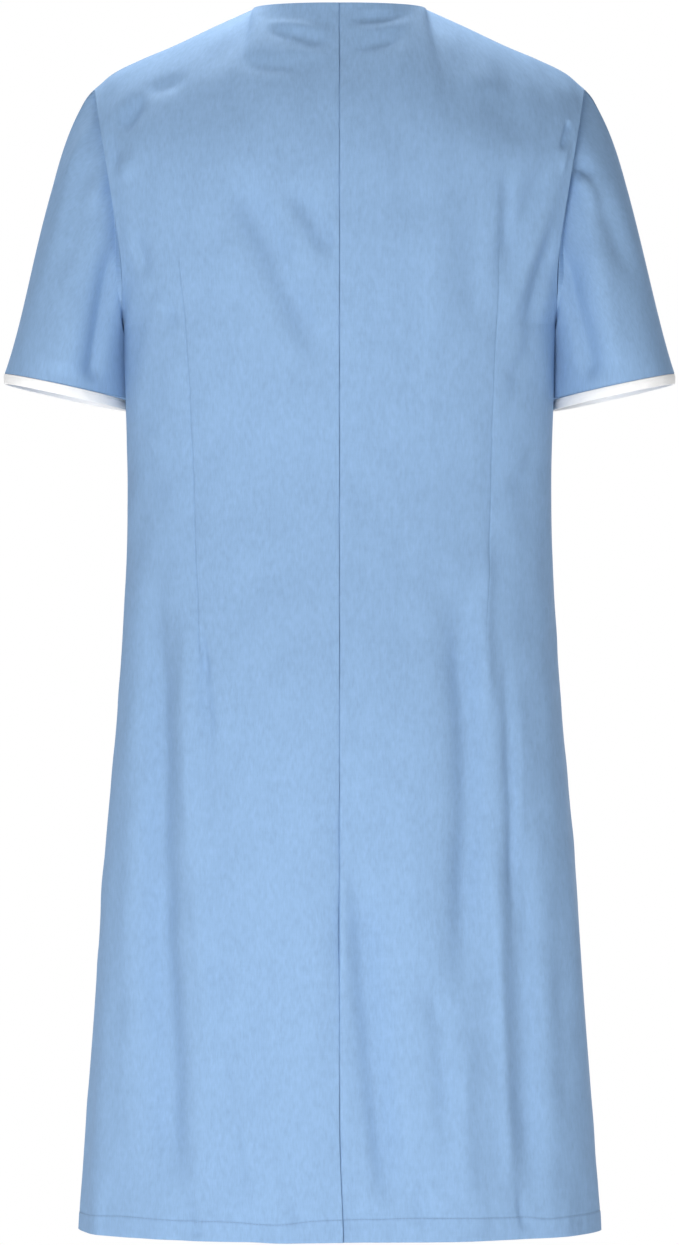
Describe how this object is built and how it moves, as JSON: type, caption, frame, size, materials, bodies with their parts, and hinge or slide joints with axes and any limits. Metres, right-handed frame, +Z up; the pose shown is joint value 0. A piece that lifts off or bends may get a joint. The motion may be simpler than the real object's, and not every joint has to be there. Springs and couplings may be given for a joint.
{
  "type": "nurse uniform dress, short-sleeved, button-front, filled out with no wearer",
  "caption": "Hollow short-sleeved nurse uniform dress: fitted darted body, A-line skirt, buttoned V-neck front and white-bound sleeves.",
  "frame": {"origin": "on the garment's centre plane, level with the middle of the two shoulder seams, where the wearer's shoulders hold it", "axes": "+Z up, front towards -Y, the wearer's left towards +X"},
  "size_m": [0.5438, 0.2582, 0.9886],
  "materials": {
    "blue_cloth": "matt light blue plain-weave polyester and cotton cloth",
    "white_cloth": "matt white plain-weave cloth",
    "button_plastic": "satin white plastic"
  },
  "bodies": {
    "root": {"back_left": "blue_cloth", "back_right": "blue_cloth", "front_left": "blue_cloth", "front_right": "blue_cloth", "sleeve_left": "blue_cloth", "sleeve_right": "blue_cloth", "cuff_band_left": "white_cloth", "cuff_band_right": "white_cloth", "button_1": "button_plastic", "button_2": "button_plastic", "button_3": "button_plastic", "button_4": "button_plastic", "button_5": "button_plastic", "button_6": "button_plastic", "button_7": "button_plastic", "button_8": "button_plastic"}
  },
  "joints": []
}
